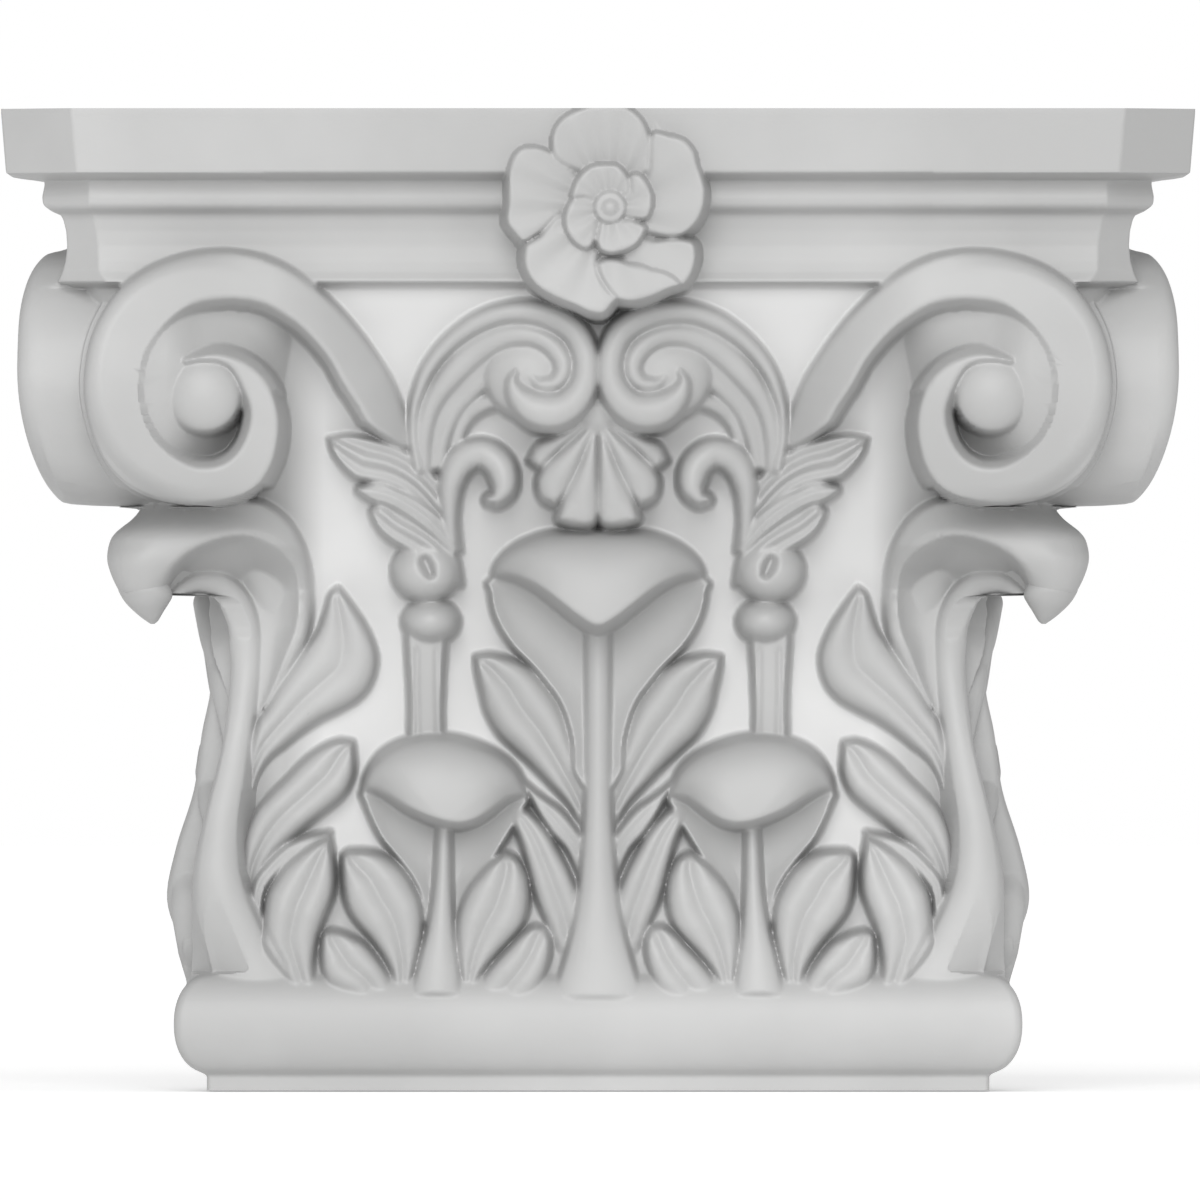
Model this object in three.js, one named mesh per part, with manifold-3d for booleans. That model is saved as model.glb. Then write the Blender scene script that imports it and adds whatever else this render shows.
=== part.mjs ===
// A moulded pilaster capital in the Corinthian manner: one solid with a flat back, a flat underside and a flat top.
// Millimetres, +Z up. The front faces -Y. The origin is the centre of the underside.
import * as THREE from "three";
import { mergeVertices } from "three/addons/utils/BufferGeometryUtils.js";
import Module from "manifold-3d";

const wasm = await Module();
wasm.setup();

// Driving dimensions
const capitalWidth = 311; // the abacus, from one cut corner to the other
const capitalHeight = 256; // underside to top
const capitalDepth = 104; // flat back to the front of the abacus
const abacusOverhang = 44.7; // the abacus beyond the torus, in front and at each side
const slabHeight = 17.7; // the abacus's flat upper band
const ovoloHeight = 9.1; // the round moulding under the slab
const cavettoHeight = 19; // the hollow moulding under the ovolo
const cornerCut = 18.5; // the slab's corner, measured along the front
const torusHeight = 26.5; // the round moulding at the foot
const footHeight = 3.9; // the flat band under the torus
const footSetback = 8.6; // the foot behind the torus
const rosetteRelief = 7.5; // the rosette's button in front of the slab

// The carving is drawn on a sheet laid over the front elevation. x runs from the capital's left side, y runs down,
// and a depth runs back from the front of the slab. A sheet is as wide as the capital and is mirrored at its centre.
const sheet = { centre: 598, top: 108, abacusFoot: 284, torusTop: 976, underside: 1093, overhang: 172 };

const sliver = { thickness: 0.03, needle: 0.25, rounds: 1500 };

const abacusHeight = slabHeight + ovoloHeight + cavettoHeight;
const abacusFootZ = capitalHeight - abacusHeight;
const torusTopZ = footHeight + torusHeight;
const across = capitalWidth / 2 / sheet.centre;
const inward = abacusOverhang / sheet.overhang;
const backY = (capitalDepth - abacusOverhang - footSetback) / 2;
const frontY = backY - capitalDepth;

function heightOf(y) {
  if (y <= sheet.abacusFoot) {
    return abacusFootZ + ((sheet.abacusFoot - y) / (sheet.abacusFoot - sheet.top)) * abacusHeight;
  }
  if (y <= sheet.torusTop) {
    const share = (sheet.torusTop - y) / (sheet.torusTop - sheet.abacusFoot);
    return torusTopZ + share * (abacusFootZ - torusTopZ);
  }
  return ((sheet.underside - y) / (sheet.underside - sheet.torusTop)) * torusTopZ;
}

// Where a point of the sheet lies on the left half of the front, and on the left side, which repeats the front's corner.
const onFront = ([x, y, depth]) => [across * (x - sheet.centre), frontY + inward * depth, heightOf(y)];
const onSide = ([x, y, depth]) => [across * (depth - sheet.centre), frontY + inward * x, heightOf(y)];
const mirrored = (place) => (point) => {
  const [x, y, z] = place(point);
  return [-x, y, z];
};

// Solids
function solid(geometry) {
  const bare = new THREE.BufferGeometry();
  bare.setAttribute("position", geometry.getAttribute("position"));
  bare.setIndex(geometry.getIndex());
  const merged = mergeVertices(bare, 1e-4);
  const triVerts = new Uint32Array(merged.index.array);
  const vertProperties = merged.attributes.position.array;
  if (signedVolume(vertProperties, triVerts) < 0) {
    triVerts.reverse();
  }
  return new wasm.Manifold(new wasm.Mesh({ numProp: 3, vertProperties, triVerts }));
}

function signedVolume(positions, triangles) {
  const corner = (i) => new THREE.Vector3().fromArray(positions, 3 * triangles[i]);
  let volume = 0;
  for (let i = 0; i < triangles.length; i += 3) {
    volume += corner(i).dot(corner(i + 1).cross(corner(i + 2)));
  }
  return volume;
}

// A closed skin over rings of points that all have the same count.
function loft(rings, place) {
  const count = rings[0].length;
  const points = rings.flat().map(place);
  const triangles = [];
  for (let ring = 0; ring + 1 < rings.length; ring += 1) {
    for (let i = 0; i < count; i += 1) {
      const a = ring * count + i;
      const b = ring * count + ((i + 1) % count);
      triangles.push(a, b, b + count, a, b + count, a + count);
    }
  }
  for (const [first, turned] of [[0, true], [(rings.length - 1) * count, false]]) {
    const middle = points.length;
    const ring = points.slice(first, first + count);
    points.push([0, 1, 2].map((axis) => ring.reduce((sum, p) => sum + p[axis], 0) / count));
    for (let i = 0; i < count; i += 1) {
      const a = first + i;
      const b = first + ((i + 1) % count);
      triangles.push(middle, turned ? b : a, turned ? a : b);
    }
  }
  const geometry = new THREE.BufferGeometry();
  geometry.setAttribute("position", new THREE.Float32BufferAttribute(points.flat(), 3));
  geometry.setIndex(triangles);
  return solid(geometry);
}

// A smooth line through sheet points that carry their depth and, as a fourth number, a half width.
function smoothLine(stations, steps) {
  const curve = new THREE.CatmullRomCurve3(
    stations.map(([x, y, depth]) => new THREE.Vector3(x, y, depth)), false, "centripetal");
  const widths = new THREE.CatmullRomCurve3(
    stations.map(([, , , width], i) => new THREE.Vector3(i, width, 0)), false, "catmullrom");
  const line = [];
  for (let i = 0; i <= steps; i += 1) {
    const share = i / steps;
    const point = curve.getPoint(share);
    const along = curve.getTangent(share);
    const flat = Math.hypot(along.x, along.y) || 1;
    line.push({
      share, point, width: widths.getPoint(share).y,
      across: new THREE.Vector2(-along.y / flat, along.x / flat),
    });
  }
  return line;
}

// A band along a line. The section is a list of [share of the half width, depth from the line].
function band(stations, steps, section, place) {
  const rings = smoothLine(stations, steps).map(({ point, width, across: side }) =>
    section.map(([share, depth]) => [
      point.x + side.x * width * share, point.y + side.y * width * share, point.z + depth]));
  return loft(rings, place);
}

// A leaf's lobe, from root to tip: an almond in outline, with two swells and a hollow between them.
const lobeBacking = 26;
function lobe({ line, width, relief, tipWidth = 0.3, rootWidth = 0.35, backing = lobeBacking }, place) {
  const steps = 4;
  const rings = smoothLine(line.map((p) => [...p, width]), steps).map(({ share, point, across: side }) => {
    const almond = Math.sin(Math.PI * Math.pow(share, 1.25));
    const ends = share < 0.5 ? rootWidth : tipWidth;
    const half = width * Math.max(almond, ends);
    const crown = relief * Math.max(almond, 0.45);
    const section = [[-1, backing], [-0.62, -crown], [0, -0.5 * crown], [0.62, -crown], [1, backing]];
    return section.map(([out, depth]) => [point.x + side.x * half * out, point.y + side.y * half * out, point.z + depth]);
  });
  return loft(rings, place);
}

// A flattened ball, on its own centre, for beads, eyes and petals.
function ball({ centre: [x, y, depth], size: [rx, ry, rz], turn = 0 }, place, segments = 8, rows = 4) {
  const geometry = new THREE.SphereGeometry(1, segments, rows);
  const position = geometry.getAttribute("position");
  const cos = Math.cos(turn);
  const sin = Math.sin(turn);
  for (let i = 0; i < position.count; i += 1) {
    const px = position.getX(i) * rx;
    const py = position.getY(i) * ry;
    const at = place([x + px * cos - py * sin, y + px * sin + py * cos, depth + position.getZ(i) * rz]);
    position.setXYZ(i, ...at);
  }
  return solid(geometry);
}

// Mouldings and bell: plan outlines with cut front corners, stacked down the sheet as [y, setback, corner cut].
function planBlock(levels) {
  const rings = levels.map(([y, setback, cut]) => {
    const half = capitalWidth / 2 - inward * setback;
    const front = frontY + inward * setback;
    const z = heightOf(y);
    return [
      [-half + cut, front, z], [half - cut, front, z], [half, front + cut, z],
      [half, backY, z], [-half, backY, z], [-half, front + cut, z]];
  });
  return loft(rings, (point) => point);
}

function abacus() {
  const profile = [
    [108, 0], [176, 5], [176.5, 43], [184, 43], [200, 41], [207, 45], [212, 58],
    [222, 64], [245, 66], [266, 64], [284, 59]];
  const cutShrink = 2 - Math.SQRT2;
  return planBlock(profile.map(([y, setback]) => [y, setback, cornerCut - cutShrink * inward * setback]));
}

function bell() {
  const profile = [
    [282, 78], [300, 84], [340, 103], [400, 130], [460, 155], [540, 185], [640, 208], [740, 220], [860, 228], [1000, 230]];
  const cornerRound = 11;
  return planBlock(profile.map(([y, setback]) => [y, setback, cornerRound]));
}

function torusAndFoot() {
  const bulge = sheet.overhang;
  const footInset = bulge + footSetback / inward;
  const torusFootY = sheet.underside - (footHeight / torusTopZ) * (sheet.underside - sheet.torusTop);
  const middle = (sheet.torusTop + torusFootY) / 2;
  const halfRise = (torusFootY - sheet.torusTop) / 2;
  const roundness = footInset - bulge;
  const rings = 8;
  const profile = [];
  for (let i = 0; i <= rings; i += 1) {
    const angle = Math.PI * (i / rings - 0.5);
    profile.push([middle + halfRise * Math.sin(angle), bulge + roundness * (1 - Math.cos(angle)) * 1.15]);
  }
  profile.push([torusFootY + 0.5, footInset + 1], [sheet.underside, footInset]);
  const cornerRound = 2.4;
  return planBlock(profile.map(([y, setback]) => [y, setback, cornerRound]));
}

// Corner volute. Its face leans back from the corner, and its drum ends on the corner's diagonal.
const volute = { edge: 84, faceDepth: 14, lean: 0.27, recess: 20, centre: [197, 381], radii: [112, 124] };
const faceAt = (x) => volute.faceDepth + volute.lean * (x - volute.edge);

const voluteBand = [
  [392, 440, 13], [383, 419, 15], [360, 378, 18], [332, 334, 21], [292, 298, 24], [225, 278, 24], [162, 294, 25],
  [116, 340, 27], [111, 388, 27], [128, 448, 26], [160, 476, 23], [199, 486, 20], [241, 473, 18], [265, 440, 15],
  [266, 408, 14], [256, 384, 12], [236, 364, 8]];

function voluteParts(place) {
  const drumSides = 14;
  const front = [];
  const back = [];
  for (let i = 0; i < drumSides; i += 1) {
    const angle = (2 * Math.PI * i) / drumSides;
    const x = volute.centre[0] + volute.radii[0] * Math.cos(angle);
    const y = volute.centre[1] + volute.radii[1] * Math.sin(angle);
    const setIn = x > 270 ? 30 : 0;
    front.push([x - setIn, y, faceAt(x) + volute.recess]);
    back.push([x, y, x + 14]);
  }
  const stations = voluteBand.map(([x, y, width]) => [x, y, faceAt(x), width]);
  const section = [[-1, 0], [1, 0], [1, 44], [-1, 44]];
  return [
    loft([front, back], place),
    band(stations, 19, section, place),
    ball({ centre: [205, 392, faceAt(205) + 16], size: [37, 38, 26] }, place),
  ];
}

// Corner leaf: a rib up the corner, and a heavy lip that curls over along the diagonal.
function cornerLeaf(place) {
  const rib = [
    [1000, 232, 46], [976, 216, 44], [940, 199, 40], [900, 193, 32], [860, 196, 27], [820, 201, 25], [780, 212, 22],
    [740, 222, 19], [700, 230, 18], [660, 231, 19], [620, 228, 22], [580, 216, 28], [540, 200, 34]];
  const ribRings = rib.map(([y, reach, half]) => {
    const near = reach;
    const far = reach + 2 * half;
    const cut = 0.55 * half;
    return [
      [near + cut, y, near], [far, y, near + 4], [far + 40, y, far + 40], [near + 4, y, far], [near, y, near + cut]];
  });
  const lip = [
    [262, 498], [200, 500], [160, 512], [134, 532], [127, 556], [134, 586], [152, 608], [172, 621],
    [188, 612], [206, 598], [232, 596], [268, 620]];
  const lipReach = 88;
  const lipRound = 90;
  const slices = 6;
  const lipRings = [];
  for (let i = -slices / 2; i <= slices / 2; i += 1) {
    const side = (2 * i) / slices;
    const offset = lipReach * side;
    const setback = (offset * offset) / (2 * lipRound);
    const droop = 1 - 0.42 * side * side;
    lipRings.push(lip.map(([reach, y]) => {
      const along = Math.min(reach + setback, 262);
      const low = 498 + (y - 498) * droop;
      return [along + offset / Math.SQRT2, low, along - offset / Math.SQRT2];
    }));
  }
  return [loft(ribRings, place), loft(lipRings, place)];
}

// Lobes beside the corner leaf, then the foliage that the side repeats as far as its depth allows.
const cornerLobes = [
  { line: [[248, 790, 206], [268, 745, 200], [302, 703, 194], [334, 664, 186], [342, 600, 178]], width: 33, relief: 20 },
  { line: [[247, 905, 206], [262, 850, 202], [290, 806, 194], [325, 776, 186], [350, 748, 178]], width: 27, relief: 18 },
  { line: [[300, 994, 204], [288, 955, 202], [292, 925, 198], [306, 893, 192], [322, 858, 186]], width: 28, relief: 17 },
  { line: [[400, 995, 204], [397, 955, 200], [386, 922, 194], [371, 892, 188], [356, 866, 184]], width: 34, relief: 17 },
  { line: [[376, 997, 200], [362, 980, 196], [348, 962, 192], [336, 944, 188]], width: 23, relief: 16 },
];
const budLobes = [
  { line: [[452, 575, 182], [452, 530, 168], [432, 490, 152], [388, 458, 138], [332, 438, 126]], width: 26, relief: 17 },
  { line: [[452, 560, 180], [436, 522, 166], [404, 498, 154], [364, 487, 144]], width: 14, relief: 13 },
  { line: [[452, 582, 176], [436, 552, 166], [408, 530, 156], [374, 514, 148]], width: 21, relief: 15 },
];
const centreLobes = [
  { line: [[460, 992, 204], [468, 955, 200], [482, 922, 194], [500, 892, 188], [516, 862, 184]], width: 29, relief: 17 },
  { line: [[488, 996, 200], [505, 976, 196], [524, 955, 192], [544, 934, 188]], width: 21, relief: 16 },
  { line: [[578, 800, 204], [556, 752, 198], [524, 712, 190], [494, 684, 182], [478, 660, 176]], width: 35, relief: 20 },
  { line: [[582, 870, 206], [572, 838, 200], [552, 805, 192], [520, 776, 184]], width: 17, relief: 16 },
  { line: [[564, 960, 204], [564, 915, 200], [550, 872, 194], [534, 838, 188], [520, 812, 184]], width: 19, relief: 16 },
];

// A leaf whose head bends forward into a drooping cap, over a body that narrows to a ribbed stem.
function cappedLeaf({ centre, half, head, cap, body, stem }, place) {
  const slices = 6;
  const capRings = [];
  for (let i = -slices / 2; i <= slices / 2; i += 1) {
    const side = (2 * i) / slices;
    const fall = side * side;
    const top = head.top + (head.shoulder - head.top) * fall;
    const tip = head.tip + (head.shoulder + 3 - head.tip) * (1 - (1 - Math.abs(side)) ** 1.3);
    const front = head.front + (head.side - head.front) * fall;
    const x = centre + half * side * 0.99;
    const rise = tip - top;
    capRings.push([
      [x, top - 2, cap + 24], [x, top + 0.06 * rise, cap - 6], [x, top + 0.3 * rise, front + 10],
      [x, top + 0.65 * rise, front], [x, tip, front + 3], [x, tip + 2, front + 16], [x, tip - 2, cap + 24]]);
  }
  const bodyRings = body.map(([y, width, edge]) => {
    const rib = stem.half + stem.spread * Math.max(0, (y - stem.spreadFrom) / (stem.foot - stem.spreadFrom)) ** 1.6;
    const wide = Math.max(width, rib + 4);
    const hollow = edge + (wide > 40 ? 8 : 4);
    return [
      [centre - wide, y, edge], [centre - rib - 3, y, hollow], [centre - rib, y, stem.front],
      [centre + rib, y, stem.front], [centre + rib + 3, y, hollow], [centre + wide, y, edge], [centre, y, edge + 50]];
  });
  return [loft(capRings, place), loft(bodyRings, place)];
}

const centreLeaf = {
  centre: 599, half: 103, cap: 185,
  head: { top: 529, shoulder: 580, tip: 629, front: 116, side: 172 },
  body: [
    [570, 100, 188], [610, 104, 188], [645, 84, 192], [680, 56, 194], [720, 36, 196], [780, 26, 198], [860, 24, 198],
    [930, 34, 194], [1003, 44, 186]],
  stem: { half: 11, front: 182, spread: 26, spreadFrom: 760, foot: 1003 },
};
const lowerLeaf = {
  centre: 443, half: 81, cap: 190,
  head: { top: 738, shoulder: 792, tip: 826, front: 146, side: 184 },
  body: [
    [780, 78, 200], [815, 76, 200], [845, 60, 202], [875, 40, 204], [910, 24, 204], [950, 22, 202], [1003, 26, 194]],
  stem: { half: 9, front: 188, spread: 13, spreadFrom: 840, foot: 1003 },
};

// The stalk between the leaves: a shaft, a bead and the calyx that the bud opens from.
function stalk(place) {
  const shaft = [[735, 28], [700, 23], [650, 20]].map(([y, half]) => [
    [430 - half, y, 206], [430 - 0.6 * half, y, 196], [430 + 0.6 * half, y, 196], [430 + half, y, 206], [430, y, 236]]);
  return [
    loft(shaft, place),
    ball({ centre: [430, 621, 200], size: [29, 22, 22] }, place),
    ball({ centre: [428, 566, 188], size: [34, 36, 24] }, place),
  ];
}

// Helices: the inner scrolls, each with a round outer band and a hollow inner one, and a small curl below.
const helixOuter = [
  [426, 470, 142, 9], [420, 425, 128, 9], [428, 385, 108, 10], [446, 350, 92, 11], [474, 324, 78, 12],
  [510, 311, 68, 12], [550, 314, 60, 13], [578, 332, 56, 14], [588, 362, 55, 14], [580, 394, 57, 14],
  [554, 411, 59, 15], [526, 404, 61, 14], [513, 384, 63, 10], [516, 370, 67, 6]];
const helixInner = [
  [438, 470, 148, 12], [444, 425, 134, 15], [460, 388, 118, 17], [486, 356, 101, 18], [518, 340, 85, 17],
  [550, 344, 74, 15], [564, 364, 70, 12], [552, 382, 70, 11], [534, 376, 74, 7]];
const smallCurl = [
  [450, 530, 160, 8], [450, 480, 138, 14], [462, 452, 126, 16], [486, 454, 118, 17], [500, 474, 116, 17],
  [494, 496, 119, 13], [484, 498, 123, 8]];

function scrolls(place) {
  const roundSection = [[-1, 6], [-0.5, 0], [0.5, 0], [1, 6], [0, 56]];
  const flatSection = [[-1, 4], [0, 9], [1, 4], [0, 48]];
  return [
    band(helixOuter, 15, roundSection, place),
    band(helixInner, 11, flatSection, place),
    band(smallCurl, 7, roundSection, place),
  ];
}

// The palmette that hangs between the helices: half of its lobes, mirrored at the centre.
const palmette = [
  { line: [[594, 412, 96], [590, 450, 104], [583, 490, 112], [580, 522, 122]], width: 19, relief: 14, tipWidth: 0.9, backing: 60 },
  { line: [[590, 414, 100], [576, 444, 106], [560, 472, 114], [546, 492, 124]], width: 15, relief: 14, tipWidth: 0.7, backing: 60 },
  { line: [[588, 416, 104], [566, 434, 110], [532, 462, 124]], width: 15, relief: 13, tipWidth: 0.7, backing: 60 },
];

// Rosette: petals of [x, y, half width, half height, turn], an outer ring and an inner one, round a button.
const outerPetals = [
  [607, 143, 46, 33, 0], [681, 188, 27, 50, 0], [678, 262, 22, 24, 0], [640, 276, 40, 26, 0.1], [562, 274, 42, 31, 0.45],
  [535, 196, 29, 48, 0], [566, 152, 16, 20, 0.8]];
const innerPetals = [[602, 181, 28, 18, 0], [638, 199, 17, 24, 0], [622, 237, 26, 17, 0], [581, 224, 17, 26, 0.1]];

function rosette() {
  const reach = rosetteRelief / inward;
  const rim = -0.3 * reach;
  const backing = { centre: [606, 208, 22], size: [78, 88, 46] };
  return [
    ball(backing, onFront, 10, 4),
    ...outerPetals.map(([x, y, rx, ry, turn]) => ball({ centre: [x, y, rim + 8], size: [rx, ry, 15], turn }, onFront)),
    ...innerPetals.map(([x, y, rx, ry, turn]) => ball({ centre: [x, y, rim - 6], size: [rx, ry, 12], turn }, onFront)),
    ball({ centre: [610, 208, -reach + 12], size: [13, 13, 12] }, onFront, 8, 6),
  ];
}

// Each corner is carved twice, on the front and on the side, and the whole is mirrored.
function halfOfCarving(turnOver) {
  const front = turnOver(onFront);
  const side = turnOver(onSide);
  const pieces = [];
  const sideLobes = cornerLobes.slice(0, 4);
  pieces.push(...voluteParts(front), ...voluteParts(side), ...cornerLeaf(front));
  pieces.push(...[...cornerLobes, ...budLobes, ...centreLobes].map((shape) => lobe(shape, front)));
  pieces.push(...sideLobes.map((shape) => lobe(shape, side)));
  pieces.push(...palmette.map((shape) => lobe(shape, front)));
  pieces.push(...cappedLeaf(lowerLeaf, front));
  pieces.push(...stalk(front), ...scrolls(front));
  return pieces;
}

function capital() {
  const pieces = [
    abacus(), bell(), torusAndFoot(),
    ...cappedLeaf(centreLeaf, onFront),
    ...halfOfCarving((place) => place),
    ...halfOfCarving(mirrored),
    ...rosette(),
  ];
  const whole = pieces.reduce((sum, piece) => sum.add(piece));
  const wall = new THREE.BoxGeometry(2 * capitalWidth, 2 * capitalDepth, 2 * capitalHeight);
  wall.translate(0, backY + capitalDepth, capitalHeight);
  return whole.subtract(solid(wall));
}

// A join leaves slivers where faces nearly meet. A needle closes up, and a flat one swaps its long edge.
function mendSlivers(points, triangles) {
  let faces = triangles;
  const length = (a, b) => points[a].distanceTo(points[b]);
  const thickness = ([a, b, c]) => {
    const ab = points[b].clone().sub(points[a]);
    const ac = points[c].clone().sub(points[a]);
    return ab.cross(ac).length() / Math.max(length(a, b), length(b, c), length(c, a));
  };
  const follows = (face, a, b) => face.includes(a) && face[(face.indexOf(a) + 1) % 3] === b;
  for (let round = 0; round < sliver.rounds; round += 1) {
    const thin = faces.find((face) => thickness(face) < sliver.thickness);
    if (!thin) {
      break;
    }
    const turns = thin.map((_, i) => [thin[i], thin[(i + 1) % 3], thin[(i + 2) % 3]]);
    const [a, b, c] = turns.reduce((best, turn) => (length(turn[0], turn[1]) > length(best[0], best[1]) ? turn : best));
    const near = length(a, c) < length(b, c) ? a : b;
    if (length(near, c) < sliver.needle) {
      faces = faces.map((face) => face.map((i) => (i === c ? near : i)));
      faces = faces.filter((face) => new Set(face).size === 3);
    } else {
      const beside = faces.find((face) => follows(face, b, a));
      const d = beside.find((i) => i !== a && i !== b);
      faces = faces.filter((face) => face !== thin && face !== beside);
      faces.push([a, d, c], [d, b, c]);
    }
  }
  return faces;
}

function toMesh(shape, name, material) {
  const { numProp, vertProperties, triVerts, numVert } = shape.getMesh();
  const points = Array.from({ length: numVert }, (_, i) => new THREE.Vector3().fromArray(vertProperties, i * numProp));
  const triangles = Array.from({ length: triVerts.length / 3 }, (_, i) => Array.from(triVerts.subarray(3 * i, 3 * i + 3)));
  const geometry = new THREE.BufferGeometry();
  geometry.setFromPoints(points);
  geometry.setIndex(mendSlivers(points, triangles).flat());
  geometry.computeVertexNormals();
  const mesh = new THREE.Mesh(geometry, material);
  mesh.name = name;
  return mesh;
}

const whitePrimer = new THREE.MeshStandardMaterial({ color: 0xdcdcdb, roughness: 0.6, metalness: 0 });
const group = new THREE.Group();
group.add(toMesh(capital(), "capital", whitePrimer));

export default group;
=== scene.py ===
"""A moulded pilaster capital in the Corinthian manner, with a coat of white primer, on a plain pale floor.

The carving is a relief: a sheet of depths drawn over the left half of the front, and mirrored. The sides
repeat the front's corner, turned over the diagonal. The sheet's x runs from the capital's left side, its y
runs down, and a depth runs back from the front of the abacus.
"""
import math

import bpy
import numpy as np
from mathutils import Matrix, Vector


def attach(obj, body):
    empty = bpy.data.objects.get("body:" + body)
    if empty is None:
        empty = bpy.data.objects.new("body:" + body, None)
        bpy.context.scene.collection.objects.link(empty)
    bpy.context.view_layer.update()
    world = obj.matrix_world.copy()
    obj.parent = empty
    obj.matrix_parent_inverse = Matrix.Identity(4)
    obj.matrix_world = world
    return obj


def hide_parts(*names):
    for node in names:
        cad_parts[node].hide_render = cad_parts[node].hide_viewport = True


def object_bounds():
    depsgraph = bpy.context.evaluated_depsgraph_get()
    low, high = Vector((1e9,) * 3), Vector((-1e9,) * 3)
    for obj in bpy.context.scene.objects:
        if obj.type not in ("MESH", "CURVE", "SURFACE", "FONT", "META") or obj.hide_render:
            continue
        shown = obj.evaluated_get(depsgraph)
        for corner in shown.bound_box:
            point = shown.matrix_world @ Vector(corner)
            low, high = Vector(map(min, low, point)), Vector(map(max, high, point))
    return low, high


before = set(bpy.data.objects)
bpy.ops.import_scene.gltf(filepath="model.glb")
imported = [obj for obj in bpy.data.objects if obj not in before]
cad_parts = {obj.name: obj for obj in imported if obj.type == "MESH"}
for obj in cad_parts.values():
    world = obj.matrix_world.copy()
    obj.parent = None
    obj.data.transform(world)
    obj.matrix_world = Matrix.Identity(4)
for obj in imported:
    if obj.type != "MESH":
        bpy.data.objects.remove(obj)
cad_low, cad_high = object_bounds()

# The sheet's own marks, in its units, and the heights that its levels stand for, in metres
CENTRE = 598.0
SHEET_BACK = 400.0
SHEET_LEVELS = (108.0, 284.0, 976.0, 1093.0)
HEIGHTS = (0.256, 0.2102, 0.0304, 0.0)
TOP, UNDERSIDE = SHEET_LEVELS[0], SHEET_LEVELS[-1]
UNIT = (cad_high[0] - cad_low[0]) / 2 / CENTRE

# The wall, and the front of the abacus that stands out from it
ABACUS_DEPTH = 0.104
BACK_Y = cad_high[1]
FRONT_Y = BACK_Y - ABACUS_DEPTH

# The sheet is read at these places. Where nothing lies, its depth is NOWHERE.
STEP = 1.6
columns = np.arange(0.0, CENTRE + 1.0, 1.0)
levels = np.linspace(TOP, UNDERSIDE, int((UNDERSIDE - TOP) / STEP) + 1)
X, Y = np.meshgrid(columns, levels)
NOWHERE = 900.0


# Lines on the sheet

def smooth_line(points, closed=False, per_span=6):
    """A Catmull-Rom line through the points, whatever numbers each point carries."""
    p = np.array(points, float)
    if closed:
        p = np.vstack([p[-1], p, p[0], p[1]])
    else:
        p = np.vstack([2 * p[0] - p[1], p, 2 * p[-1] - p[-2]])
    t = np.linspace(0, 1, per_span, endpoint=False)[:, None]
    spans = []
    for a, b, c, d in zip(p[:-3], p[1:-2], p[2:-1], p[3:]):
        square = 2 * a - 5 * b + 4 * c - d
        cube = 3 * b - a - 3 * c + d
        spans.append(0.5 * (2 * b + (c - a) * t + square * t ** 2 + cube * t ** 3))
    if not closed:
        spans.append(p[-2][None, :])
    return np.vstack(spans)


def window(line, margin):
    """The part of the sheet that a line's box covers: its place, x and y."""
    low, high = line[:, :2].min(0) - margin, line[:, :2].max(0) + margin
    first, last = int((low[1] - TOP) / STEP), int((high[1] - TOP) / STEP)
    rows = slice(max(first, 0), min(last + 2, len(levels)))
    cols = slice(max(int(low[0]), 0), min(int(high[0]) + 2, len(columns)))
    return (rows, cols), X[rows, cols], Y[rows, cols]


def nearest(line, x, y):
    """For each place: its distance to the line, and the place along the line as an index."""
    best = np.full(x.shape, np.inf)
    along = np.zeros(x.shape)
    for i, (a, b) in enumerate(zip(line[:-1], line[1:])):
        ex, ey = b[0] - a[0], b[1] - a[1]
        length = ex * ex + ey * ey + 1e-9
        t = unit(((x - a[0]) * ex + (y - a[1]) * ey) / length)
        dx, dy = x - a[0] - t * ex, y - a[1] - t * ey
        d = dx * dx + dy * dy
        closer = d < best
        best = np.where(closer, d, best)
        along = np.where(closer, i + t, along)
    return np.sqrt(best), along


def distance_to(line, x, y):
    return nearest(line, x, y)[0]


def distance_round(line, x, y):
    """The distance to a closed line."""
    return distance_to(np.vstack([line, line[:1]]), x, y)


def inside(line, x, y):
    """True where a place lies within a closed line."""
    result = np.zeros(x.shape, bool)
    for a, b in zip(line, np.roll(line, -1, axis=0)):
        crosses = (a[1] > y) != (b[1] > y)
        at = a[0] + (y - a[1]) * (b[0] - a[0]) / (b[1] - a[1] + 1e-12)
        result ^= crosses & (x < at)
    return result


def raise_to(depth, place, shape):
    """Bring the sheet forward to the shape wherever the shape lies in front."""
    depth[place] = np.minimum(depth[place], shape)


def unit(value):
    return np.clip(value, 0, 1)


def quarter_round(share):
    return np.sqrt(1 - (1 - unit(share)) ** 2)


def ramp(value, soft):
    """A slope that starts softly at nought."""
    return (value + np.sqrt(value ** 2 + soft ** 2)) / 2


def ease(share):
    """From nought to one, with a soft start and a soft end."""
    share = unit(share)
    return share * share * (3 - 2 * share)


def eased(value, start, over):
    return ease((value - start) / over)


def past(limit, value):
    return np.clip(value - limit, 0, None)


def bend(value, start, rate):
    """A parabola that begins at the start."""
    return rate * past(start, value) ** 2


def in_radii(centre, radii, x, y):
    """The distance from an ellipse's centre, with the ellipse's edge at one."""
    return np.hypot((x - centre[0]) / radii[0], (y - centre[1]) / radii[1])


def value_at(value, x, y):
    """One value for all places, or a function of x and y."""
    return value(x, y) if callable(value) else value


# Shapes on the sheet. Outside its outline each shape falls away down a steep wall.

WALL = 13.0
WALL_REACH = 8.0
FLAT_STRAND_EDGE = 6.0

# A lobe's crease: how much of a half wave lies between its middle and its rim, and how sharply it is cut
CREASE_WAVE = 0.8
CREASE_CUT = 0.7


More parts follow.
